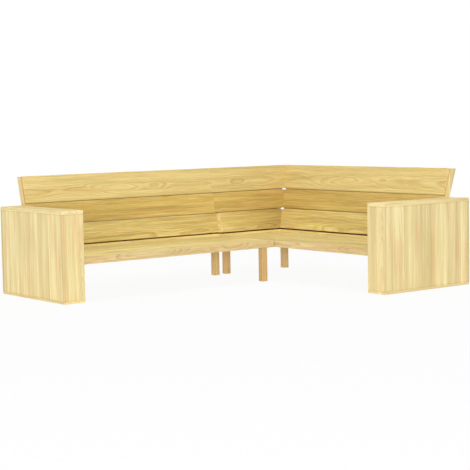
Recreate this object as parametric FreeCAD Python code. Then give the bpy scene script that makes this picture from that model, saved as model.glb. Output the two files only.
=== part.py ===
import FreeCAD, Part
import math
import os

os.makedirs("parts", exist_ok=True)

# Corner bench of pine boards, in millimetres, +Z up.
# Two benches meet in a right angle. The origin is on the floor, under the middle of the leg in the
# corner. The long bench runs from there along -X, and the short bench, which holds the corner seat,
# along -Y.

# Overall sizes
long_side = 2390.0
short_side = 1806.0
arm_depth = 758.0
arm_width = 148.0
arm_height = 558.0
back_height = 746.0
leg_height = 228.0

# Timber sections
board = 20.0
base_board = 14.0
post = 42.0
batten = 24.0
apron_height = 44.0
rail_height = 76.0
edge_ease = 1.5

# Seat and backrest, with the rows of the backrest given by their heights
seat_setback = 18.0
seat_planks = 5
seat_gap = 4.0
arm_planks = 5
plank_gap = 0.6
back_inset = 24.0
long_rake = math.radians(14.0)
corner_rake = math.radians(18.5)
top_row = 173.0
middle_row = 139.0
lower_row = 131.5
row_gap = 3.0
foot_gap = 10.0
stile_drop = 5.0
corner_step = 44.0
corner_lift = 6.0
corner_hole_width = 30.0
corner_hole_height = 13.0

# Places of the free-standing ends
corner_unit_depth = 746.0
corner_bearer_inset = 132.0
corner_leg_inset = 139.0
long_leg_inset = 148.0
front_leg_gap = 1.0
corner_stile_inset = 234.0
return_stile_rise = 4.0

# Fasteners
screw_shank = 4.0
screw_head = 8.0
screw_head_height = 2.5
screw_bite = 13.0
bolt_shank = 8.0
bolt_head = 20.0
bolt_head_height = 4.0
bolt_nut = 13.0
bolt_nut_height = 6.5
dowel_size = 10.0
dowel_bite = 12.0
screw_edge = 30.0
seat_screw_edge = 18.0

# Clearances
joint_clearance = 0.3
notch_clearance = 2.0
rebate_clearance = 1.0
hole_clearance = 0.1

# Derived heights and depths, with depth k measured forward from a bench's rear plane
seat_top = leg_height + apron_height
bearer_top = seat_top - board
bearer_low = bearer_top - batten
seat_front = arm_depth - seat_setback
apron_back = seat_front - board
rail_top = leg_height + rail_height
arm_inner_top = arm_height - board
bearer_middle = 0.5 * (bearer_low + bearer_top)
seam = long_side - corner_unit_depth
origin_long_k = corner_bearer_inset + post / 2
origin_short_k = corner_leg_inset + post / 2
rows = (("top", top_row), ("middle", middle_row), ("lower", lower_row))
foot_top = back_height - top_row - middle_row - lower_row - 2 * row_gap - foot_gap


def long_bench(u, k, z):
    """Point of the long bench: u from the left arm's outer face, k forward, z up."""
    return FreeCAD.Vector(u - long_side + origin_short_k, origin_long_k - k, z)


def short_bench(u, k, z):
    """Point of the short bench: u from the right arm's outer face, k forward, z up."""
    return FreeCAD.Vector(origin_short_k - k, u - short_side + origin_long_k, z)


def direction(side, u, k, z):
    """Direction in a bench's local frame, as a vector of the whole model."""
    return side(u, k, z) - side(0.0, 0.0, 0.0)


# Solids that the pieces are made from


def block(side, u, k, z):
    """Box given by low and high pairs along u, k and z."""
    a = side(u[0], k[0], z[0])
    b = side(u[1], k[1], z[1])
    low = FreeCAD.Vector(min(a.x, b.x), min(a.y, b.y), min(a.z, b.z))
    return Part.makeBox(abs(b.x - a.x), abs(b.y - a.y), abs(b.z - a.z), low)


def six_sided(near, far):
    """Solid between two quadrilaterals whose corners correspond."""
    loops = [near, far[::-1]]
    for i in range(4):
        j = (i + 1) % 4
        loops.append([near[j], near[i], far[i], far[j]])
    shell = Part.makeShell([Part.Face(Part.makePolygon(loop + loop[:1])) for loop in loops])
    shell.sewShape()
    solid = Part.makeSolid(shell)
    if solid.Orientation == "Reversed":
        return six_sided(far, near)
    return solid


def prism(side, profile, u):
    """Solid of a (k, z) profile carried along u from its low to its high value."""
    near = [side(u[0], k, z) for k, z in profile]
    far = [side(u[1], k, z) for k, z in profile]
    return six_sided(near, far)


def eased(shape):
    """Piece of timber with its sharp edges rounded over."""
    return shape.makeFillet(edge_ease, shape.Edges)


def rod(centre, axis, radius, length):
    """Cylinder from a centre point along an axis."""
    return Part.makeCylinder(radius, length, centre, axis)


# Raked backrest geometry


def face_depth(rake, z):
    """Depth of the backrest's front face at a height."""
    return back_inset + (back_height - z) * math.tan(rake)


def stile_front(rake, z):
    """Depth of the stile's front face, behind the boards."""
    return face_depth(rake, z) - board / math.cos(rake)


def stile_rear(rake, z):
    """Depth of the stile's rear face."""
    return stile_front(rake, z) - post / math.cos(rake)


def stile_middle(rake, z):
    """Depth of the stile's centre line."""
    return 0.5 * (stile_front(rake, z) + stile_rear(rake, z))


def rail_front(rake):
    """Depth of the rear rail's front face, which the stiles lean on."""
    return stile_rear(rake, rail_top) - joint_clearance


def behind_face(rake, z, behind):
    """Point of the backrest's section that lies square behind its front face at a height."""
    return face_depth(rake, z) - behind * math.cos(rake), z - behind * math.sin(rake)


def row_heights(name):
    """Lower and upper height of a row of boards, on the front face."""
    high = back_height
    for row, height in rows:
        if row == name:
            return high - height, high
        high -= height + row_gap


def row_profile(rake, name, step, lift):
    """Section of one backrest board; a step brings its front forward and a lift raises its front edge."""
    low, high = row_heights(name)
    return [
        (face_depth(rake, high + lift) + step, high + lift),
        (face_depth(rake, low) + step, low),
        behind_face(rake, low, board),
        behind_face(rake, high, board),
    ]


def foot_profile(rake, step):
    """Section of the foot board, which stands level on the seat under the rows."""
    return [
        (face_depth(rake, foot_top) + step, foot_top),
        (face_depth(rake, seat_top) + step, seat_top),
        (stile_front(rake, seat_top), seat_top),
        behind_face(rake, foot_top, board),
    ]


def back_profiles(rake, thick):
    """Names, steps and sections of a backrest's boards; in the corner the lower two are thick."""
    step = corner_step if thick else 0.0
    lift = corner_lift if thick else 0.0
    return [
        ("top", 0.0, row_profile(rake, "top", 0.0, 0.0)),
        ("middle", 0.0, row_profile(rake, "middle", 0.0, 0.0)),
        ("lower", step, row_profile(rake, "lower", step, lift)),
        ("foot", step, foot_profile(rake, step)),
    ]


def stile_profile(rake, z_low, grow):
    """Section of a stile cut level at both ends; grow widens it for a notch."""
    wide = grow / math.cos(rake)
    low = z_low - grow
    high = back_height - stile_drop + grow
    return [
        (stile_front(rake, low) + wide, low),
        (stile_front(rake, high) + wide, high),
        (stile_rear(rake, high) - wide, high),
        (stile_rear(rake, low) - wide, low),
    ]


# The model: solids and hole cutters of each node

solids = {}
cutters = {}


def add(node, shape):
    """Puts a solid into a node."""
    solids.setdefault(node, []).append(shape)


def cut_later(nodes, cutter):
    """Keeps a cutter for every solid of the nodes that it reaches."""
    for node in nodes:
        cutters.setdefault(node, []).append(cutter)


def screw_shape(head, axis, length, grow):
    """Countersunk screw from its head's flat top along an axis."""
    shank = screw_shank / 2 + grow
    top = screw_head / 2 + grow
    cone = Part.makeCone(top, shank, screw_head_height + grow, head, axis)
    return cone.fuse(rod(head, axis, shank, length + grow)).removeSplitter()


def add_screw(head, axis, length, nodes):
    """Screw, with its hole in the nodes that it joins."""
    axis = axis.normalize()
    add("screws", screw_shape(head, axis, length, 0.0))
    cut_later(nodes, screw_shape(head, axis, length, hole_clearance))


def add_dowel(start, axis, length, nodes):
    """Wooden dowel buried in the two nodes that it joins."""
    axis = axis.normalize()
    add("dowels", rod(start, axis, dowel_size / 2, length))
    hole = rod(start - axis * hole_clearance, axis, dowel_size / 2 + hole_clearance,
               length + 2 * hole_clearance)
    cut_later(nodes, hole)


def hexagon(centre, axis, across, length):
    """Six-sided prism of a width across its flats, along a level axis."""
    corner = across / math.sqrt(3)
    level = axis.cross(FreeCAD.Vector(0.0, 0.0, 1.0))
    points = []
    for i in range(7):
        turn = math.radians(60.0 * i)
        rise = FreeCAD.Vector(0.0, 0.0, corner * math.sin(turn))
        points.append(centre + level * (corner * math.cos(turn)) + rise)
    return Part.Face(Part.makePolygon(points)).extrude(axis * length)


def add_bolt(start, axis, grip, nodes):
    """Dome-headed bolt through a grip of timber, with its nut at the far side."""
    axis = axis.normalize()
    shank_length = grip + bolt_nut_height
    top = start - axis * bolt_head_height
    head = Part.makeCone(bolt_head / 4, bolt_head / 2, bolt_head_height, top, axis)
    add("bolts", head.fuse(rod(start, axis, bolt_shank / 2, shank_length)).removeSplitter())
    bore = rod(start, axis, bolt_shank / 2 + hole_clearance, shank_length)
    add("bolts", hexagon(start + axis * grip, axis, bolt_nut, bolt_nut_height).cut(bore))
    cut_later(nodes, bore)


def inner_pair(low, high, edge):
    """Two places, one near each end of a span."""
    return (low + edge, high - edge)


# Box arms


def make_arm(name, side):
    """One box arm: four boards around upright planks on battens."""
    full_k = (0.0, arm_depth)
    full_u = (0.0, arm_width)
    upright = (base_board, arm_inner_top)
    add(name + "_top_board", eased(block(side, full_u, full_k, (arm_inner_top, arm_height))))
    add(name + "_base_board", eased(block(side, full_u, full_k, (0.0, base_board))))
    add(name + "_front_board", eased(block(side, full_u, (arm_depth - board, arm_depth), upright)))
    add(name + "_rear_board", eased(block(side, full_u, (0.0, board), upright)))
    for inner_face in (False, True):
        u_batten = batten_span(inner_face)
        for z_batten in batten_heights():
            add(name + "_battens", eased(block(side, u_batten, (board, arm_depth - board), z_batten)))

    pitch = (arm_depth - 2 * board) / arm_planks
    for i in range(arm_planks):
        low = board + i * pitch + plank_gap / 2
        high = board + (i + 1) * pitch - plank_gap / 2
        outer = name + "_outer_plank_" + str(i + 1)
        add(outer, eased(block(side, (0.0, board), (low, high), upright)))
        inner = block(side, (arm_width - board, arm_width), (low, high), upright)
        add(name + "_inner_planks", eased(inner))
        plank_screws(name, side, outer, low, high)
        if i % 2 == 0:
            board_screws(name, side, 0.5 * (low + high))
    batten_dowels(name, side)


def batten_span(inner_face):
    """Span across the arm of the battens behind one face."""
    if inner_face:
        return (arm_width - board - batten, arm_width - board)
    return (board, board + batten)


def batten_heights():
    """Heights of the lower and upper battens."""
    return ((base_board, base_board + post), (arm_inner_top - post, arm_inner_top))


def plank_screws(name, side, outer, low, high):
    """Screws through the battens into one outer plank and the inner plank opposite."""
    length = batten + screw_bite
    for z_low, z_high in batten_heights():
        z = 0.5 * (z_low + z_high)
        for k in inner_pair(low, high, screw_edge):
            head = side(board + batten, k, z)
            add_screw(head, direction(side, -1.0, 0.0, 0.0), length,
                      (outer, name + "_battens"))
            head = side(arm_width - board - batten, k, z)
            add_screw(head, direction(side, 1.0, 0.0, 0.0), length,
                      (name + "_inner_planks", name + "_battens"))


def board_screws(name, side, k):
    """Screws at one depth through the battens into the top board and through the base board."""
    up = direction(side, 0.0, 0.0, 1.0)
    upper_low = batten_heights()[1][0]
    for inner_face in (False, True):
        low, high = batten_span(inner_face)
        u = 0.5 * (low + high)
        add_screw(side(u, k, upper_low), up, post + screw_bite,
                  (name + "_top_board", name + "_battens"))
        add_screw(side(u, k, 0.0), up, base_board + screw_bite,
                  (name + "_base_board", name + "_battens"))


def batten_dowels(name, side):
    """Dowels from the battens' ends into the front and rear boards."""
    forward = direction(side, 0.0, 1.0, 0.0)
    for inner_face in (False, True):
        low, high = batten_span(inner_face)
        u = 0.5 * (low + high)
        for z_low, z_high in batten_heights():
            z = 0.5 * (z_low + z_high)
            add_dowel(side(u, board - dowel_bite, z), forward, 2 * dowel_bite,
                      (name + "_rear_board", name + "_battens"))
            add_dowel(side(u, arm_depth - board - dowel_bite, z), forward, 2 * dowel_bite,
                      (name + "_front_board", name + "_battens"))


# Seat frames and backrests


def seat_spans(rail_k):
    """Depth spans of the seat planks from the rear rail to the apron."""
    width = (apron_back - rail_k - (seat_planks + 1) * seat_gap) / seat_planks
    spans = []
    for i in range(seat_planks):
        low = rail_k + seat_gap + i * (width + seat_gap)
        spans.append((low, low + width))
    return spans


def plank_nodes(name):
    """Names of a bench's seat planks."""
    return [name + "_seat_plank_" + str(i + 1) for i in range(seat_planks)]


def seat_screws(name, side, u_middle, spans, taken):
    """Screws up through a bearer into the seat planks, clear of the depths that are taken."""
    up = direction(side, 0.0, 0.0, 1.0)
    for node, span in zip(plank_nodes(name), spans):
        for k in inner_pair(span[0], span[1], seat_screw_edge):
            if any(low - screw_head < k < high + screw_head for low, high in taken):
                continue
            add_screw(side(u_middle, k, bearer_low), up, batten + screw_bite,
                      (name + "_bearers", node))


def add_bearer(name, side, u, k):
    """Cross bearer under the seat planks."""
    add(name + "_bearers", eased(block(side, u, k, (bearer_low, bearer_top))))


def apron_dowel(name, side, u_middle):
    """Dowel between a bearer's end and the apron."""
    start = side(u_middle, apron_back - dowel_bite, bearer_middle)
    add_dowel(start, direction(side, 0.0, 1.0, 0.0), 2 * dowel_bite,
              (name + "_bearers", name + "_front_apron"))


def rail_screw(name, side, u_middle, rail_k):
    """Screw through the rear rail into a bearer's end, beside the middle of the bearer."""
    head = side(u_middle + post / 4, rail_k - board, bearer_middle)
    add_screw(head, direction(side, 0.0, 1.0, 0.0), board + 2 * screw_bite,
              (name + "_rear_rail", name + "_bearers"))


def stile_screw(side, u_middle, rail_k, rail, stiles):
    """Screw through a rail's upper edge into the stile that leans on it."""
    head = side(u_middle, rail_k - board, rail_top - board / 2)
    add_screw(head, direction(side, 0.0, 1.0, 0.0), board + 2 * screw_bite, (rail, stiles))


def add_leg(node, side, u, k, bearers):
    """Square leg under a bearer, held by two screws from above."""
    add(node, eased(block(side, u, k, (0.0, bearer_low))))
    u_middle = 0.5 * (u[0] + u[1])
    k_middle = 0.5 * (k[0] + k[1])
    down = direction(side, 0.0, 0.0, -1.0)
    for offset in (-post / 4, post / 4):
        head = side(u_middle + offset, k_middle, bearer_top)
        add_screw(head, down, batten + 2 * screw_bite, (node, bearers))


def add_legs(name, side, u, rear_inset):
    """Front and rear leg of a bench's free end."""
    front = (apron_back - front_leg_gap - post, apron_back - front_leg_gap)
    rear = (rear_inset, rear_inset + post)
    add_leg(name + "_front_leg", side, u, front, name + "_bearers")
    add_leg(name + "_rear_leg", side, u, rear, name + "_bearers")


def add_stile(stiles, side, rake, u, z_low, notched):
    """Raked stile, with room for it in the seat planks around it."""
    add(stiles, eased(prism(side, stile_profile(rake, z_low, 0.0), u)))
    wide = (u[0] - notch_clearance, u[1] + notch_clearance)
    cut_later(notched, prism(side, stile_profile(rake, z_low, notch_clearance), wide))


def back_screws(side, rake, u_middle, stiles, boards):
    """Screws through a stile into the backrest boards in front of it."""
    forward = direction(side, 0.0, math.cos(rake), math.sin(rake))
    places = [("foot", 0.5 * (seat_top + foot_top))]
    for row, height in rows:
        places.extend((row, z) for z in inner_pair(*row_heights(row), screw_edge))
    for row, place in places:
        k, z = behind_face(rake, place, board + post)
        add_screw(side(u_middle, k, z), forward, post + screw_bite, (stiles, boards + "_" + row + "_board"))


def bearer_bolt(name, side, rake, u_head, toward, stiles):
    """Bolt through a stile and the bearer beside it."""
    start = side(u_head, stile_middle(rake, bearer_middle), bearer_middle)
    add_bolt(start, direction(side, toward, 0.0, 0.0), 2 * post, (stiles, name + "_bearers"))


def arm_end(name, arm, side, rake, stiles, spans):
    """Stile and bearer that stand against an arm, with the fixings through the arm's inner planks."""
    u = (arm_width, arm_width + post)
    u_middle = arm_width + post / 2
    inner = arm + "_inner_planks"
    add_stile(stiles, side, rake, u, bearer_low, plank_nodes(name))
    back_screws(side, rake, u_middle, stiles, name + "_back")
    stile_screw(side, u_middle, rail_front(rake), name + "_rear_rail", stiles)
    free_height = arm_inner_top - post - rail_top
    for share in (1 / 3, 2 / 3):
        z = rail_top + share * free_height
        start = side(arm_width + post, stile_middle(rake, z), z)
        add_bolt(start, direction(side, -1.0, 0.0, 0.0), post + board, (stiles, inner))

    front = stile_front(rake, bearer_low) + notch_clearance
    add_bearer(name, side, u, (front, apron_back))
    apron_dowel(name, side, u_middle)
    seat_screws(name, side, u_middle, spans, [(0.0, front)])
    for low, high in spans:
        k = 0.5 * (low + high)
        if k > front + screw_edge:
            head = side(arm_width - board, k, bearer_middle)
            add_screw(head, direction(side, 1.0, 0.0, 0.0), board + screw_bite,
                      (inner, name + "_bearers"))


def bearer_and_stile(name, side, rake, u_bearer, u_stile, stiles, spans):
    """Full bearer with a stile bolted to its side."""
    rail_k = rail_front(rake)
    u_middle = 0.5 * (u_bearer[0] + u_bearer[1])
    add_bearer(name, side, u_bearer, (rail_k, apron_back))
    apron_dowel(name, side, u_middle)
    rail_screw(name, side, u_middle, rail_k)
    seat_screws(name, side, u_middle, spans, [])
    add_bolted_stile(name, side, rake, u_bearer, u_stile, stiles)


def add_bolted_stile(name, side, rake, u_bearer, u_stile, stiles):
    """Stile beside a bearer, with its bolt, its rail screw and its board screws."""
    u_middle = 0.5 * (u_stile[0] + u_stile[1])
    add_stile(stiles, side, rake, u_stile, bearer_low, plank_nodes(name))
    back_screws(side, rake, u_middle, stiles, name + "_back")
    stile_screw(side, u_middle, rail_front(rake), name + "_rear_rail", stiles)
    if u_stile[0] < u_bearer[0]:
        bearer_bolt(name, side, rake, u_stile[0], 1.0, stiles)
    else:
        bearer_bolt(name, side, rake, u_stile[1], -1.0, stiles)


def seat_boards(name, side, u, spans):
    """Seat planks side by side from the rear rail to the apron."""
    for node, span in zip(plank_nodes(name), spans):
        add(node, eased(block(side, u, span, (bearer_top, seat_top))))


def seat_edges(name, side, apron_u, rail_u, rail_k):
    """Front apron and rear rail of a seat."""
    front = block(side, apron_u, (apron_back, seat_front), (leg_height, seat_top))
    rear = block(side, rail_u, (rail_k - board, rail_k), (leg_height, rail_top))
    add(name + "_front_apron", eased(front))
    add(name + "_rear_rail", eased(rear))


def long_bench_unit():
    """The long bench, from its arm to the seam with the corner bench."""
    name = "long_bench"
    side = long_bench
    rake = long_rake
    stiles = name + "_stiles"
    start = arm_width
    rail_k = rail_front(rake)
    spans = seat_spans(rail_k)
    span = (start, seam)

    seat_boards(name, side, span, spans)
    seat_edges(name, side, span, span, rail_k)
    for row, step, profile in back_profiles(rake, False):
        add(name + "_back_" + row + "_board", eased(prism(side, profile, span)))

    arm_end(name, "left_arm", side, rake, stiles, spans)
    middle = 0.5 * (start + seam)
    stile = (middle - post / 2, middle + post / 2)
    bearer_and_stile(name, side, rake, (stile[0] - post, stile[0]), stile, stiles, spans)
    end_bearer = (seam - 2 * post, seam - post)
    bearer_and_stile(name, side, rake, end_bearer, (seam - post, seam), stiles, spans)
    add_legs(name, side, end_bearer, long_leg_inset)


def corner_bench_unit():
    """The short bench, from its arm into the corner behind the long bench's end."""
    name = "corner_bench"
    side = short_bench
    rake = corner_rake
    stiles = name + "_stiles"
    start = arm_width
    rail_k = rail_front(rake)
    spans = seat_spans(rail_k)
    bearer = (short_side - corner_bearer_inset - post, short_side - corner_bearer_inset)
    end = short_side - rail_front(long_rake)

    seat_boards(name, side, (start, end), spans)
    seat_edges(name, side, (start, bearer[0]), (start, end + board), rail_k)
    for row, step, profile in back_profiles(rake, True):
        near = [side(start, k, z) for k, z in profile]
        far = [side(short_side - stile_front(long_rake, z), k, z) for k, z in profile]
        add(name + "_back_" + row + "_board", eased(six_sided(near, far)))

    arm_end(name, "right_arm", side, rake, stiles, spans)
    stile = (bearer[0] - post, bearer[0])
    middle = 0.5 * (start + stile[0])
    bearer_and_stile(name, side, rake, (middle, middle + post), (middle - post, middle), stiles, spans)
    add_bolted_stile(name, side, rake, bearer, stile, stiles)
    add_bearer(name, side, bearer, (rail_k, seat_front))
    rail_screw(name, side, 0.5 * (bearer[0] + bearer[1]), rail_k)
    add_legs(name, side, bearer, corner_leg_inset)
    corner_return(name, bearer, spans)


def corner_return(name, bearer, spans):
    """Backrest along the long side of the corner seat, on stiles that stand behind the corner bearer."""
    side = long_bench
    rake = long_rake
    boards = name + "_return"
    stiles = name + "_stiles"
    rail = name + "_end_rail"
    rail_k = rail_front(rake)
    start = seam + joint_clearance
    for row, step, profile in back_profiles(rake, True):
        near = [side(start, k, z) for k, z in profile]
        ends = [long_side - face_depth(corner_rake, z) - step - joint_clearance for k, z in profile]
        far = [side(u, k, z) for u, (k, z) in zip(ends, profile)]
        add(boards + "_" + row + "_board", eased(six_sided(near, far)))

    # Rebate in the short side's thick lower board for the end of the return's middle board
    low, high = row_heights("middle")
    front = -rebate_clearance
    rear = board + rebate_clearance
    corners = ((high, front), (low - row_gap, front), (low - row_gap, rear), (high, rear))
    section = [behind_face(rake, z, behind) for z, behind in corners]
    cut_later((name + "_back_lower_board",), prism(side, section, (seam, long_side)))

    rail_u = (long_side - seat_front, long_side - rail_front(corner_rake))
    add(rail, eased(block(side, rail_u, (rail_k - board, rail_k), (leg_height, rail_top))))
    head = short_bench(short_side - rail_k + board / 2, rail_front(corner_rake) - board,
                       0.5 * (leg_height + rail_top))
    add_screw(head, direction(short_bench, 0.0, 1.0, 0.0), board + 2 * screw_bite,
              (name + "_rear_rail", rail))

    corner_stile = (long_side - corner_stile_inset - post, long_side - corner_stile_inset)
    backward = direction(side, 0.0, -1.0, 0.0)
    taken = []
    for u in ((start, start + post), corner_stile):
        u_middle = 0.5 * (u[0] + u[1])
        add_stile(stiles, side, rake, u, bearer_low + return_stile_rise, plank_nodes(name))
        back_screws(side, rake, u_middle, stiles, boards)
        stile_screw(side, u_middle, rail_k, rail, stiles)
        for offset in (0.0, post / 3):
            head = side(u_middle + offset, corner_bearer_inset + post, bearer_middle)
            add_screw(head, backward, post + 2 * screw_bite, (name + "_bearers", stiles))
        taken.append((long_side - u[1] - notch_clearance, long_side - u[0] + notch_clearance))
    seat_screws(name, short_bench, 0.5 * (bearer[0] + bearer[1]), spans, taken)

    # Room in the stile at the seam for the head of the bolt in the other bench's stile
    head = side(seam, stile_middle(rake, bearer_middle), bearer_middle)
    room = rod(head, direction(side, 1.0, 0.0, 0.0), bolt_head / 2 + notch_clearance,
               bolt_head_height + notch_clearance)
    cut_later((stiles,), room)


def corner_holes():
    """Oval drain holes in the corner of the backrests, at the gaps between the rows."""
    inward = FreeCAD.Vector(1.0, 1.0, 0.0)
    across = FreeCAD.Vector(1.0, -1.0, 0.0).normalize()
    before = board + corner_step
    names = [row for row, height in rows]
    for upper, lower in zip(names, names[1:]):
        z = row_heights(upper)[0] - row_gap / 2
        x = origin_short_k - face_depth(corner_rake, z) - before
        y = origin_long_k - face_depth(long_rake, z) - before
        middle = FreeCAD.Vector(x, y, z)
        oval = Part.Ellipse(middle + across * (corner_hole_width / 2),
                            middle + FreeCAD.Vector(0.0, 0.0, corner_hole_height / 2), middle)
        face = Part.Face(Part.Wire(oval.toShape()))
        nodes = ["corner_bench_" + back + "_" + row + "_board"
                 for back in ("back", "return") for row in (upper, lower)]
        cut_later(nodes, face.extrude(inward * (before + 3 * board)))


def seam_bolts():
    """Bolts that join the two benches, through the stiles on both sides of the seam."""
    grip = 2 * post + joint_clearance
    for z in (back_height - top_row / 3, back_height - top_row):
        start = long_bench(seam + joint_clearance + post, stile_middle(long_rake, z), z)
        add_bolt(start, direction(long_bench, -1.0, 0.0, 0.0), grip,
                 ("long_bench_stiles", "corner_bench_stiles"))


def write_parts():
    """Cuts the holes and notches and writes one file per node."""
    for node, shapes in solids.items():
        finished = []
        for shape in shapes:
            reached = [c for c in cutters.get(node, []) if c.BoundBox.intersect(shape.BoundBox)]
            if reached:
                shape = shape.cut(Part.makeCompound(reached))
            finished.extend(shape.Solids)
        whole = finished[0] if len(finished) == 1 else Part.makeCompound(finished)
        whole.exportStep("parts/" + node + ".step")


make_arm("left_arm", long_bench)
make_arm("right_arm", short_bench)
long_bench_unit()
corner_bench_unit()
corner_holes()
seam_bolts()
write_parts()
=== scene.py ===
import math
from collections import namedtuple

import bpy
import numpy as np
from mathutils import Matrix, Vector

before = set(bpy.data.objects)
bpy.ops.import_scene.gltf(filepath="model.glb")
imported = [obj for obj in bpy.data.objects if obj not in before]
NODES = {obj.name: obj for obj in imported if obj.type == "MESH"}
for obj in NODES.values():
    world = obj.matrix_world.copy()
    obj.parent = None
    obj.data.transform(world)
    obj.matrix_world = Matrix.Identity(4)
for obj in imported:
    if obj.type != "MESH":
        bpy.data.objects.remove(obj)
strays = [o for o in bpy.data.objects if o.type in ("MESH", "LIGHT", "CAMERA") and o.name not in NODES]
for stray in strays:
    bpy.data.objects.remove(stray)
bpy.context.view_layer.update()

X = Vector((1, 0, 0))
Y = Vector((0, 1, 0))
Z = Vector((0, 0, 1))
LONG_RAKE = math.radians(14.0)
CORNER_RAKE = math.radians(18.5)


def linear(red, green, blue):
    """Linear colour of an sRGB colour given in 0 to 255."""
    out = []
    for value in (red, green, blue):
        c = value / 255.0
        out.append(c / 12.92 if c <= 0.04045 else ((c + 0.055) / 1.055) ** 2.4)
    return (*out, 1.0)


class Tree:
    """Short calls that build a material's nodes."""

    def __init__(self, name):
        self.material = bpy.data.materials.new(name)
        self.material.use_nodes = True
        self.nodes = self.material.node_tree.nodes
        self.links = self.material.node_tree.links
        self.nodes.clear()

    def put(self, socket, value):
        if isinstance(value, bpy.types.NodeSocket):
            self.links.new(value, socket)
        elif value is not None:
            socket.default_value = value

    def node(self, kind, inputs=(), **settings):
        made = self.nodes.new(kind)
        for key, value in settings.items():
            setattr(made, key, value)
        for key, value in dict(inputs).items():
            self.put(made.inputs[key], value)
        return made

    def math(self, operation, a, b=None, c=None):
        made = self.nodes.new("ShaderNodeMath")
        made.operation = operation
        for socket, value in zip(made.inputs, (a, b, c)):
            self.put(socket, value)
        return made.outputs[0]

    def total(self, *values):
        result = values[0]
        for value in values[1:]:
            result = self.math("ADD", result, value)
        return result

    def product(self, *values):
        result = values[0]
        for value in values[1:]:
            result = self.math("MULTIPLY", result, value)
        return result

    def dot(self, a, direction):
        made = self.node("ShaderNodeVectorMath", {0: a, 1: tuple(direction)}, operation="DOT_PRODUCT")
        return made.outputs["Value"]

    def vector(self, x, y, z):
        return self.node("ShaderNodeCombineXYZ", {0: x, 1: y, 2: z}).outputs[0]

    def noise(self, vector, detail=2.0, roughness=0.5):
        return self.node("ShaderNodeTexNoise", {
            "Vector": vector, "Scale": 1.0, "Detail": detail, "Roughness": roughness})

    def chance(self, value):
        return self.node("ShaderNodeTexWhiteNoise", {"W": value}, noise_dimensions="1D").outputs[0]

    def remap(self, value, low, high, to_low=0.0, to_high=1.0, smooth=False):
        made = self.node("ShaderNodeMapRange", {0: value, 1: low, 2: high, 3: to_low, 4: to_high})
        made.interpolation_type = "SMOOTHSTEP" if smooth else "LINEAR"
        return made.outputs[0]

    def ramp(self, value, stops):
        made = self.node("ShaderNodeValToRGB", {0: value})
        made.color_ramp.interpolation = "B_SPLINE"
        elements = made.color_ramp.elements
        while len(elements) < len(stops):
            elements.new(0.5)
        for element, (place, shade) in zip(elements, stops):
            element.position = place
            element.color = (shade, shade, shade, 1.0)
        return made.outputs[0]

    def mix(self, share, a, b, blend="MIX"):
        made = self.nodes.new("ShaderNodeMix")
        made.data_type = "RGBA"
        made.blend_type = blend
        self.put(made.inputs[0], share)
        self.put(made.inputs[6], a)
        self.put(made.inputs[7], b)
        return made.outputs[2]

    def shade(self, colour, level, powers=(1.0, 1.0, 1.0)):
        tint = {i: self.math("POWER", level, power) for i, power in enumerate(powers)}
        return self.mix(1.0, colour, self.node("ShaderNodeCombineColor", tint).outputs[0], "MULTIPLY")

    def surface(self, shader):
        out = self.node("ShaderNodeOutputMaterial")
        self.links.new(shader.outputs[0], out.inputs[0])
        return self.material


# Pine

# Tone of timber: pale early wood, darker late wood, strength of the rings, how much the broad warm
# and olive stains show, the contrast and width in metres of the streaks along the fibres, and how
# fast the streaks change along them
Tone = namedtuple("Tone", "early late rings warm olive streak width change")
ARM = Tone(linear(242, 224, 168), linear(214, 185, 116), 0.5, 0.4, 0.2, 1.1, 0.050, 0.35)
ARM_TOP = Tone(linear(238, 217, 158), linear(208, 176, 108), 0.6, 0.25, 0.3, 1.0, 0.040, 0.6)
SEAT = Tone(linear(240, 219, 148), linear(206, 175, 98), 0.8, 0.2, 0.3, 1.3, 0.060, 1.0)
APRON = Tone(linear(226, 202, 148), linear(202, 160, 100), 0.8, 0.5, 0.1, 1.2, 0.028, 1.0)
TOP_ROW = Tone(linear(227, 206, 140), linear(190, 156, 80), 0.65, 0.25, 0.3, 0.9, 0.030, 1.0)
MIDDLE_ROW = Tone(linear(211, 182, 104), linear(172, 136, 58), 0.7, 0.3, 0.3, 1.5, 0.026, 1.0)
LOWER_ROW = Tone(linear(222, 199, 126), linear(182, 148, 72), 0.8, 0.25, 0.3, 1.6, 0.028, 1.0)
FRAME = Tone(linear(226, 200, 134), linear(192, 156, 88), 0.8, 0.3, 0.2, 1.0, 0.030, 1.0)
STILE = Tone(linear(244, 222, 164), linear(216, 184, 120), 0.6, 0.3, 0.2, 1.0, 0.030, 1.0)
# The legs' tone is paler than the timber: painted light that lifts the shade under the seats
LEG_PAINTED_LIGHT = Tone(linear(244, 210, 150), linear(206, 162, 100), 0.8, 0.3, 0.0, 1.0, 0.020, 1.0)
WARM_STAIN = linear(234, 184, 126)
OLIVE_STAIN = linear(216, 198, 110)
RAW_END = linear(230, 194, 126)
ARM_END = linear(240, 218, 158)
HEARTWOOD = linear(222, 166, 104)

# Share of late wood across one growth ring, from its inner side at 0 to its outer side at 1
RING_STOPS = ((0.0, 0.0), (0.3, 0.06), (0.62, 0.45), (0.84, 1.0), (0.93, 0.5), (1.0, 0.0))
# Powers of the brightness in red, green and blue, by which darker timber turns warmer
SHADE_POWERS = (0.8, 1.0, 1.3)
# Pieces that share a node: the most they lie apart along the log, in metres, and their brightness range
PIECE_SHIFT = 9.0
PIECE_LEVELS = (0.92, 1.06)
# Brightness of the painted shade on the rails and on the stiles, which darkens the cavity behind the gap
# under the backrest
RAIL_PAINTED_SHADE = 0.25
STILE_PAINTED_SHADE = 0.15

# How a board lies in its log: depth and offset of the pith from the face's middle, their drift along
# the board, and the width of the growth rings
Cut = namedtuple("Cut", "depth offset tilt wander spacing")
FLAT_SAWN = Cut(0.060, 0.015, 0.010, 0.022, 0.0080)
RIFT_SAWN = Cut(0.045, 0.110, 0.012, 0.010, 0.0095)


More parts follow.
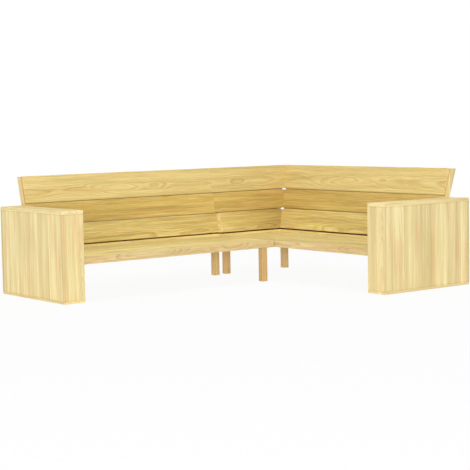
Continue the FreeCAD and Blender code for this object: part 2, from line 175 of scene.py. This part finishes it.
def spread(node, directions):
    """Middle and half size of a node along three directions."""
    mesh = NODES[node].data
    points = np.empty(len(mesh.vertices) * 3)
    mesh.vertices.foreach_get("co", points)
    places = points.reshape(-1, 3) @ np.array([list(d) for d in directions]).T
    low = places.min(0)
    high = places.max(0)
    return (low + high) / 2, (high - low) / 2


def top_of(node):
    """Height of a node's top."""
    middle, half = spread(node, (X, Y, Z))
    return float(middle[2] + half[2])


def stretched(tree, place, along, across, seed):
    """Place in a board scaled along and across the fibres, for a noise."""
    l, a, b = place
    return tree.vector(tree.math("MULTIPLY_ADD", l, along, seed), tree.math("MULTIPLY", a, across),
                       tree.math("MULTIPLY", b, across))


def ring_turns(tree, place, cut, seed, eyes):
    """Number of growth rings between the pith and a place, with its fine wavering."""
    l, a, b = place
    warp = tree.noise(stretched(tree, place, 2.2, 9.0, seed), 3.0).outputs["Color"]
    warp = tree.node("ShaderNodeSeparateColor", {0: warp}).outputs
    far_along = tree.vector(tree.math("MULTIPLY_ADD", l, 2.1, seed * 3.1), seed, 0.5)
    drift = tree.noise(far_along, 1.0).outputs[0]
    side = tree.math("ADD", a, tree.remap(warp[0], 0.2, 0.8, -0.014 - cut.offset, 0.014 - cut.offset))
    low = tree.total(b, tree.remap(warp[1], 0.2, 0.8, cut.depth - 0.010, cut.depth + 0.010),
                     tree.math("MULTIPLY", l, cut.tilt),
                     tree.remap(drift, 0.25, 0.75, -cut.wander, cut.wander))
    for eye_place, eye_length, eye_rise in eyes:
        away = tree.math("DIVIDE", tree.math("SUBTRACT", l, eye_place), eye_length)
        hump = tree.math("EXPONENT", tree.product(away, away, -1.0))
        low = tree.math("MULTIPLY_ADD", hump, -eye_rise, low)
    radius = tree.math("SQRT", tree.total(tree.product(side, side), tree.product(low, low)))
    fine = tree.noise(stretched(tree, place, 9.0, 45.0, seed), 2.0).outputs[0]
    return tree.math("MULTIPLY_ADD", fine, 0.7, tree.math("DIVIDE", radius, cut.spacing)), fine


def edge_wear_and_highlight(tree, axes, middle, half, fine):
    """Brightening towards the long edges and corners of a board: partly wear, partly a painted highlight
    where the eased edges catch the light.
    """
    gaps = []
    for axis, centre, reach in zip(axes, middle, half):
        off = tree.math("ABSOLUTE", tree.math("SUBTRACT", axis, float(centre)))
        gaps.append(tree.math("SUBTRACT", float(reach), off))
    least = tree.math("MINIMUM", tree.math("MINIMUM", gaps[0], gaps[1]), gaps[2])
    most = tree.math("MAXIMUM", tree.math("MAXIMUM", gaps[0], gaps[1]), gaps[2])
    second = tree.math("SUBTRACT", tree.math("SUBTRACT", tree.total(*gaps), least), most)
    worn_and_lit = tree.math("ADD", second, tree.remap(fine, 0.3, 0.7, -0.0015, 0.0015))
    return tree.remap(worn_and_lit, 0.0, 0.005, 1.08, 1.0, smooth=True)


def painted_joint_shade(tree, level, place, half, edge_shade, end_shade):
    """Brightness with painted shade beside a board's far long edge, where it meets the next board, and
    beside its ends.
    """
    l, a, _ = place
    if edge_shade:
        edge_drop = tree.remap(l, -float(half[0]), float(half[0]), edge_shade[0] - 1.0, edge_shade[1] - 1.0)
        beside = tree.remap(tree.math("SUBTRACT", float(half[1]), a), 0.004, 0.010, 1.0, 0.0, True)
        level = tree.math("MULTIPLY", level, tree.math("MULTIPLY_ADD", beside, edge_drop, 1.0))
    if end_shade:
        inside = tree.math("SUBTRACT", float(half[0]), tree.math("ABSOLUTE", l))
        level = tree.math("MULTIPLY", level, tree.remap(inside, 0.003, 0.010, end_shade, 1.0, True))
    return level


def painted_cavity_shade(tree, level, point, normal, shaded_way, shade_band):
    """Brightness with painted shade, for the dark cavity under the backrest, on faces that look in the
    given direction and on all of the piece between the given pair of heights.
    """
    if shaded_way is not None:
        facing = tree.remap(tree.dot(normal, shaded_way), 0.6, 0.9, 1.0, RAIL_PAINTED_SHADE, True)
        level = tree.math("MULTIPLY", level, facing)
    if shade_band:
        low, high = shade_band
        rise = tree.dot(point, Z)
        inside = tree.math("MINIMUM", tree.math("SUBTRACT", rise, low), tree.math("SUBTRACT", high, rise))
        level = tree.math("MULTIPLY", level, tree.remap(inside, 0.0, 0.003, 1.0, STILE_PAINTED_SHADE, True))
    return level


def pine(node, along, across, seed, tone, cut=FLAT_SAWN, level=1.0, eyes=(), pieces=None,
         end_grain=RAW_END, shaded_way=None, shade_band=None, streaks=(), edge_shade=None, end_shade=None):
    """Planed pine for one node: growth rings round a pith line that runs beside the piece.

    The level is a brightness, or a pair of them for the two ends of the piece. Faces that look in the
    given direction are painted dark as shade, and so is the whole piece between the given pair of
    heights: both stand for the shade in the cavity under the backrest. Streaks of heartwood are given
    by their place across, half width and strength. A brightness beside the far long edge, as a pair
    for the two ends of the piece, and a brightness beside both ends are painted shade where boards
    meet."""
    through = along.cross(across)
    middle, half = spread(node, (along, across, through))
    tree = Tree(node)
    point = tree.node("ShaderNodeTexCoord").outputs["Object"]
    axes = [tree.dot(point, way) for way in (along, across, through)]
    l, a, b = [tree.math("SUBTRACT", axis, float(centre)) for axis, centre in zip(axes, middle)]

    if isinstance(level, tuple):
        level = tree.remap(l, -float(half[0]), float(half[0]), *level)
    if pieces:
        way, start, pitch = pieces
        step = tree.math("DIVIDE", tree.math("SUBTRACT", tree.dot(point, way), start), pitch)
        draw = tree.chance(tree.math("ADD", tree.math("FLOOR", step), seed))
        l = tree.math("MULTIPLY_ADD", draw, PIECE_SHIFT, l)
        level = tree.remap(draw, 0.0, 1.0, *PIECE_LEVELS)
        if abs(way.dot(across)) > 0.9:
            a = tree.math("MULTIPLY", tree.math("SUBTRACT", tree.math("FRACT", step), 0.5), pitch)

    place = (l, a, b)
    turns, fine = ring_turns(tree, place, cut, seed, eyes)
    ring = tree.ramp(tree.math("FRACT", turns), RING_STOPS)
    year = tree.chance(tree.math("FLOOR", turns))
    late = tree.product(ring, tree.remap(year, 0.0, 1.0, 0.3 * tone.rings, 1.1 * tone.rings))

    # Broad bands, fine lines and fibres, from the widest to the narrowest
    band = stretched(tree, place, 1.5 * tone.change, 1.0 / tone.width, seed * 1.7)
    band = tree.noise(band, 2.0).outputs[0]
    line = stretched(tree, place, 6.0 * tone.change, 3.4 / tone.width, seed * 2.3)
    line = tree.noise(line, 3.0, 0.65).outputs[0]
    fibre = tree.noise(stretched(tree, place, 16.0, 560.0, seed), 3.0, 0.6).outputs[0]
    stain = tree.noise(stretched(tree, place, 2.4, 0.6 / tone.width, seed * 0.6), 2.0).outputs["Color"]
    stain = tree.node("ShaderNodeSeparateColor", {0: stain}).outputs

    colour = tree.mix(late, tone.early, tone.late)
    colour = tree.mix(tree.remap(stain[0], 0.48, 0.75, 0.0, tone.warm, True), colour, WARM_STAIN)
    colour = tree.mix(tree.remap(stain[1], 0.48, 0.75, 0.0, tone.olive, True), colour, OLIVE_STAIN)
    for streak_across, streak_width, strength in streaks:
        off = tree.math("DIVIDE", tree.math("SUBTRACT", a, streak_across), streak_width)
        core = tree.math("EXPONENT", tree.product(off, off, -1.0))
        core = tree.product(core, tree.remap(band, 0.3, 0.7, 0.6, 1.1), strength)
        colour = tree.mix(core, colour, HEARTWOOD)
    normal = tree.node("ShaderNodeNewGeometry").outputs["Normal"]
    end = tree.remap(tree.math("ABSOLUTE", tree.dot(normal, along)), 0.75, 0.95, 0.0, 0.6, True)
    colour = tree.mix(end, colour, end_grain)

    bands = tree.remap(band, 0.25, 0.75, 1.0 - 0.14 * tone.streak, 1.0 + 0.13 * tone.streak)
    lines = tree.remap(line, 0.25, 0.75, 1.0 - 0.13 * tone.streak, 1.0 + 0.13 * tone.streak)
    level = tree.product(bands, lines, tree.remap(fibre, 0.2, 0.8, 0.94, 1.06), level)
    if not pieces:
        level = tree.math("MULTIPLY", level, edge_wear_and_highlight(tree, axes, middle, half, fine))
    level = painted_joint_shade(tree, level, place, half, edge_shade, end_shade)
    level = painted_cavity_shade(tree, level, point, normal, shaded_way, shade_band)
    colour = tree.shade(colour, level, SHADE_POWERS)

    height = tree.math("MULTIPLY_ADD", fibre, 0.6, tree.math("MULTIPLY", late, 0.5))
    bump = tree.node("ShaderNodeBump", {"Height": height, "Strength": 0.35, "Distance": 0.0006})
    rough = tree.math("MULTIPLY_ADD", late, -0.1, tree.remap(fibre, 0.2, 0.8, 0.58, 0.7))
    return tree.surface(tree.node("ShaderNodeBsdfPrincipled", {
        "Base Color": colour, "Roughness": rough, "Normal": bump.outputs[0], "Specular IOR Level": 0.25}))


def zinc(name, tone, rough):
    """Zinc-plated steel with a faint crystalline mottle."""
    tree = Tree(name)
    place = tree.node("ShaderNodeTexCoord").outputs["Object"]
    cells = tree.node("ShaderNodeTexVoronoi", {"Vector": place, "Scale": 900.0})
    fine = tree.node("ShaderNodeVectorMath", {0: place, 1: (300.0, 300.0, 300.0)}, operation="MULTIPLY")
    cloud = tree.noise(fine.outputs[0], 3.0).outputs[0]
    mottle = tree.product(tree.remap(cells.outputs["Distance"], 0.0, 0.9, 0.88, 1.06),
                          tree.remap(cloud, 0.3, 0.7, 0.92, 1.05))
    bump = tree.node("ShaderNodeBump", {"Height": cloud, "Strength": 0.2, "Distance": 0.0002})
    return tree.surface(tree.node("ShaderNodeBsdfPrincipled", {
        "Base Color": tree.shade(tone, mottle), "Metallic": 1.0, "Normal": bump.outputs[0],
        "Roughness": tree.remap(cloud, 0.3, 0.7, rough - 0.06, rough + 0.08)}))


def dress(node, material):
    """Gives a node its material."""
    NODES[node].data.materials.clear()
    NODES[node].data.materials.append(material)


def slope(rake, forward):
    """Direction down the face of a raked backrest whose front looks along forward."""
    return forward * math.sin(rake) - Z * math.cos(rake)


# Planks in each side of an arm and in each seat
PLANKS = 5
# Brightness of the painted shade where the arms' upright pieces meet: beside each other, and beside the top
# and base boards
ARM_EDGE_SHADE = (0.95, 0.95)
ARM_END_SHADE = 0.88


def dress_arm(name, depth_way, seed, levels, top_level, front_streaks=()):
    """One arm: upright planks and boards, and level boards along its depth."""
    width_way = Z.cross(depth_way)
    for i in range(PLANKS):
        node = name + "_outer_plank_" + str(i + 1)
        far = (0.09 + 0.04 * ((i * 2 + int(seed)) % 3)) * (1 if i % 2 else -1)
        cut = RIFT_SAWN._replace(depth=0.03 + 0.012 * i, offset=far)
        dress(node, pine(node, Z, depth_way, seed + 1.7 * i, ARM, cut, levels[i],
                         edge_shade=ARM_EDGE_SHADE, end_shade=ARM_END_SHADE))
    node = name + "_inner_planks"
    centre, half = spread(node, (depth_way, Z, X))
    pieces = (depth_way, float(centre[0] - half[0]), float(2 * half[0] / PLANKS))
    dress(node, pine(node, Z, depth_way, seed + 9.1, ARM, RIFT_SAWN, pieces=pieces))
    cut = FLAT_SAWN._replace(offset=0.05, tilt=0.04, wander=0.012, spacing=0.006)
    for i, (part, level, streaks) in enumerate((("front", 0.93, front_streaks), ("rear", 0.76, ()))):
        node = name + "_" + part + "_board"
        dress(node, pine(node, Z, width_way, seed + 11.3 + i, ARM, cut, level,
                         streaks=streaks, end_shade=ARM_END_SHADE))
    for i, (part, tone, level) in enumerate((("top", ARM_TOP, top_level), ("base", ARM, 0.98))):
        node = name + "_" + part + "_board"
        dress(node, pine(node, depth_way, width_way, seed + 14.9 + i, tone, level=level, end_grain=ARM_END))
    node = name + "_battens"
    dress(node, pine(node, depth_way, width_way, seed + 17.0, FRAME, pieces=(Z, 0.0, 0.3)))


def dress_bench(name, along, depth_way, seed, levels, leg_levels):
    """The seat and its frame."""
    for i in range(PLANKS):
        node = name + "_seat_plank_" + str(i + 1)
        cut = FLAT_SAWN._replace(depth=0.05 + 0.01 * (i % 3), offset=0.03 * (1 if i % 2 else -1))
        dress(node, pine(node, along, depth_way, seed + 2.3 * i, SEAT, cut, levels[i]))
    node = name + "_front_apron"
    dress(node, pine(node, along, Z, seed + 13.7, APRON, FLAT_SAWN._replace(depth=0.045)))
    # The rear rail's face that looks forward is painted dark as shade of the cavity under the backrest
    node = name + "_rear_rail"
    dress(node, pine(node, along, Z, seed + 15.1, FRAME, shaded_way=depth_way))
    node = name + "_bearers"
    dress(node, pine(node, depth_way, along, seed + 16.3, FRAME, pieces=(along, 0.0, 0.4)))
    for i, part in enumerate(("front", "rear")):
        node = name + "_" + part + "_leg"
        cut = RIFT_SAWN._replace(depth=0.03, offset=0.05, tilt=0.03, spacing=0.005)
        dress(node, pine(node, Z, along, seed + 18.9 + i, LEG_PAINTED_LIGHT, cut, leg_levels[i]))


# Rows of a backrest, from the top: name, tone and cut
ROWS = (("top", TOP_ROW, FLAT_SAWN._replace(depth=0.065, wander=0.009)),
        ("middle", MIDDLE_ROW, RIFT_SAWN._replace(depth=0.06, offset=-0.10, spacing=0.0085)),
        ("lower", LOWER_ROW, FLAT_SAWN._replace(offset=0.05, wander=0.016)),
        ("foot", SEAT, RIFT_SAWN))
LONG_ENDS = (linear(214, 160, 92), RAW_END, RAW_END, RAW_END)
SHORT_ENDS = (linear(236, 196, 126), RAW_END, RAW_END, RAW_END)
RETURN_ENDS = (linear(214, 190, 124), linear(196, 164, 96), linear(240, 222, 170), linear(240, 222, 170))


# Each row's pair in the dictionary is the painted shade beside its lower edge, at the two ends of the board
def dress_back(boards, along, down, seed, levels, eyes, row_edge_shades, ends):
    """Three rows of backrest boards, each at its own brightness, and the foot board under them."""
    for i, ((row, tone, cut), level, end_grain) in enumerate(zip(ROWS, levels, ends)):
        node = boards + "_" + row + "_board"
        figure = eyes if row == "top" else ()
        dress(node, pine(node, along, down, seed + 3.7 * i, tone, cut, level, figure, end_grain=end_grain,
                         edge_shade=row_edge_shades.get(row)))


# Oval figures in the grain of the top boards: place along the board, length and rise, in metres
LONG_EYES = ((-0.02, 0.17, 0.018), (0.27, 0.08, 0.010))
RETURN_EYES = ((-0.12, 0.09, 0.009),)
SHORT_EYES = ((0.12, 0.17, 0.018), (-0.24, 0.08, 0.010))

# Streak of heartwood in the left arm's front board: place across, half width and strength
LEFT_STREAKS = ((-0.066, 0.010, 0.4),)

# Heights between the seat and the top of the rail behind it, in which the stiles get painted shade for the
# cavity under the backrest
CAVITY_SHADE_BAND = (top_of("long_bench_seat_plank_1"), top_of("long_bench_rear_rail"))

dress_arm("left_arm", -Y, 2.0, (1.04, 1.0, 1.06, 0.98, 1.06), 1.08, LEFT_STREAKS)
dress_arm("right_arm", -X, 31.0, (1.03, 1.03, 0.95, 1.0, 1.06), 1.1)
# The long seat's rear planks are set darker and its front planks lighter, partly the timber's tone and
# partly painted shade from the backrest. Legs deep under the seats get levels above 1, painted light
# against the shade of the seat.
dress_bench("long_bench", X, -Y, 61.0, (0.94, 0.92, 1.04, 1.18, 1.16), (0.84, 1.08))
dress_bench("corner_bench", Y, -X, 91.0, (0.98, 1.0, 1.02, (0.94, 1.06), (0.92, 1.08)), (1.1, 1.14))
# Level pairs run from each board's low end along its direction to its high end. The falls towards the
# inside corner on the corner back and the return, and the long lower row's fall towards the seam, are
# painted shade of the corner and the seam.
dress_back("long_bench_back", X, slope(LONG_RAKE, -Y), 121.0,
           (1.0, (0.96, 1.08), (1.16, 0.98), 1.0), LONG_EYES,
           {"top": (0.8, 0.7), "middle": (0.8, 0.7)}, LONG_ENDS)
dress_back("corner_bench_back", Y, slope(CORNER_RAKE, -X), 141.0,
           ((1.0, 0.95), (1.17, 0.89), (1.08, 0.94), 1.0), SHORT_EYES,
           {"top": (0.75, 0.6), "middle": (0.6, 0.5)}, SHORT_ENDS)
dress_back("corner_bench_return", X, slope(LONG_RAKE, -Y), 161.0,
           ((0.98, 0.9), (1.0, 0.92), (1.06, 0.64), 1.0), RETURN_EYES,
           {"top": (0.8, 0.5), "middle": (0.5, 0.4)}, RETURN_ENDS)
# The end rail's face that looks forward is painted dark as shade of the cavity under the backrest
dress("corner_bench_end_rail", pine("corner_bench_end_rail", X, Z, 181.0, FRAME, shaded_way=-Y))
# The stiles are painted dark as shade between the seat and the rail's top
dress("long_bench_stiles", pine("long_bench_stiles", slope(LONG_RAKE, -Y), X, 191.0, STILE,
                                pieces=(X, 0.0, 0.4), shade_band=CAVITY_SHADE_BAND))
dress("corner_bench_stiles", pine("corner_bench_stiles", Z, X, 201.0, STILE,
                                  pieces=((X + Y) / 2, 0.0, 0.17), shade_band=CAVITY_SHADE_BAND))
dress("dowels", pine("dowels", X, Z, 211.0, LEG_PAINTED_LIGHT))
dress("screws", zinc("screws", linear(205, 205, 200), 0.34))
dress("bolts", zinc("bolts", linear(196, 196, 194), 0.3))


# Studio

# Point in the middle of the bench that all lamps look at
LIT_POINT = Vector((-1.1, -0.7, 0.35))


def make_floor():
    """Pale floor that keeps a soft shadow of the bench, and turns quite white away from it."""
    mesh = bpy.data.meshes.new("floor")
    size = 40.0
    near = 2.5
    far = 7.0
    near_white = 0.93
    corners = [(-size, -size, 0), (size, -size, 0), (size, size, 0), (-size, size, 0)]
    mesh.from_pydata(corners, [], [(0, 1, 2, 3)])
    floor = bpy.data.objects.new("floor", mesh)
    bpy.context.scene.collection.objects.link(floor)
    tree = Tree("floor")
    path = tree.node("ShaderNodeLightPath").outputs
    plain = tree.node("ShaderNodeBsdfDiffuse", {"Color": (0.92, 0.92, 0.92, 1.0)})
    bright = tree.node("ShaderNodeEmission", {"Color": (1.0, 1.0, 1.0, 1.0), "Strength": 1.0})
    seen = tree.math("MAXIMUM", path["Is Camera Ray"], path["Is Glossy Ray"])
    seen = tree.math("MAXIMUM", seen, path["Is Transmission Ray"])
    place = tree.node("ShaderNodeTexCoord").outputs["Object"]
    away = tree.node("ShaderNodeVectorMath", {0: place}, operation="LENGTH").outputs["Value"]
    share = tree.math("MULTIPLY", seen, tree.remap(away, near, far, near_white, 1.0, True))
    both = tree.node("ShaderNodeMixShader", {0: share, 1: plain.outputs[0], 2: bright.outputs[0]})
    mesh.materials.append(tree.surface(both))


def make_world():
    """Even soft light, with a white ground for what the camera sees."""
    soft_light = 0.4
    white = 1.0
    world = bpy.data.worlds.new("studio")
    bpy.context.scene.world = world
    world.use_nodes = True
    nodes = world.node_tree.nodes
    links = world.node_tree.links
    nodes.clear()
    path = nodes.new("ShaderNodeLightPath").outputs
    seen = path["Is Camera Ray"]
    for ray in ("Is Glossy Ray", "Is Transmission Ray"):
        either = nodes.new("ShaderNodeMath")
        either.operation = "MAXIMUM"
        links.new(seen, either.inputs[0])
        links.new(path[ray], either.inputs[1])
        seen = either.outputs[0]
    both = nodes.new("ShaderNodeMixShader")
    links.new(seen, both.inputs[0])
    for slot, strength in ((1, soft_light), (2, white)):
        light = nodes.new("ShaderNodeBackground")
        light.inputs["Color"].default_value = (1.0, 1.0, 1.0, 1.0)
        light.inputs["Strength"].default_value = strength
        links.new(light.outputs[0], both.inputs[slot])
    out = nodes.new("ShaderNodeOutputWorld")
    links.new(both.outputs[0], out.inputs[0])


def add_lamp(name, place, width, height, power):
    """Large soft lamp that looks at the middle of the bench."""
    data = bpy.data.lights.new(name, "AREA")
    data.shape = "RECTANGLE"
    data.size = width
    data.size_y = height
    data.energy = power
    lamp = bpy.data.objects.new(name, data)
    bpy.context.scene.collection.objects.link(lamp)
    lamp.location = place
    lamp.rotation_euler = (LIT_POINT - Vector(place)).to_track_quat("-Z", "Y").to_euler()


def add_camera():
    """Camera at the photograph's viewing angle."""
    place = (-6.304, -7.480, 1.0634)
    yaw = 0.6635
    pitch = -0.08357
    roll = -0.01844
    ahead = Vector((math.sin(yaw) * math.cos(pitch), math.cos(yaw) * math.cos(pitch), math.sin(pitch)))
    level = Vector((math.cos(yaw), -math.sin(yaw), 0.0))
    upward = level.cross(ahead)
    right = level * math.cos(roll) + upward * math.sin(roll)
    up = upward * math.cos(roll) - level * math.sin(roll)
    data = bpy.data.cameras.new("camera")
    data.sensor_fit = "HORIZONTAL"
    data.sensor_width = 36.0
    data.lens = 102.64
    camera = bpy.data.objects.new("camera", data)
    bpy.context.scene.collection.objects.link(camera)
    turn = Matrix((right, up, -ahead)).transposed().to_4x4()
    camera.matrix_world = Matrix.Translation(place) @ turn
    bpy.context.scene.camera = camera


make_floor()
make_world()
add_lamp("front", (-9.5, -9.5, 1.3), 16.0, 2.4, 1060.0)
add_lamp("top", (-1.4, -1.2, 5.5), 4.0, 4.0, 110.0)
add_lamp("rear", (6.5, 6.5, 3.0), 5.0, 3.0, 160.0)
add_camera()
bpy.context.scene.view_settings.view_transform = "Standard"
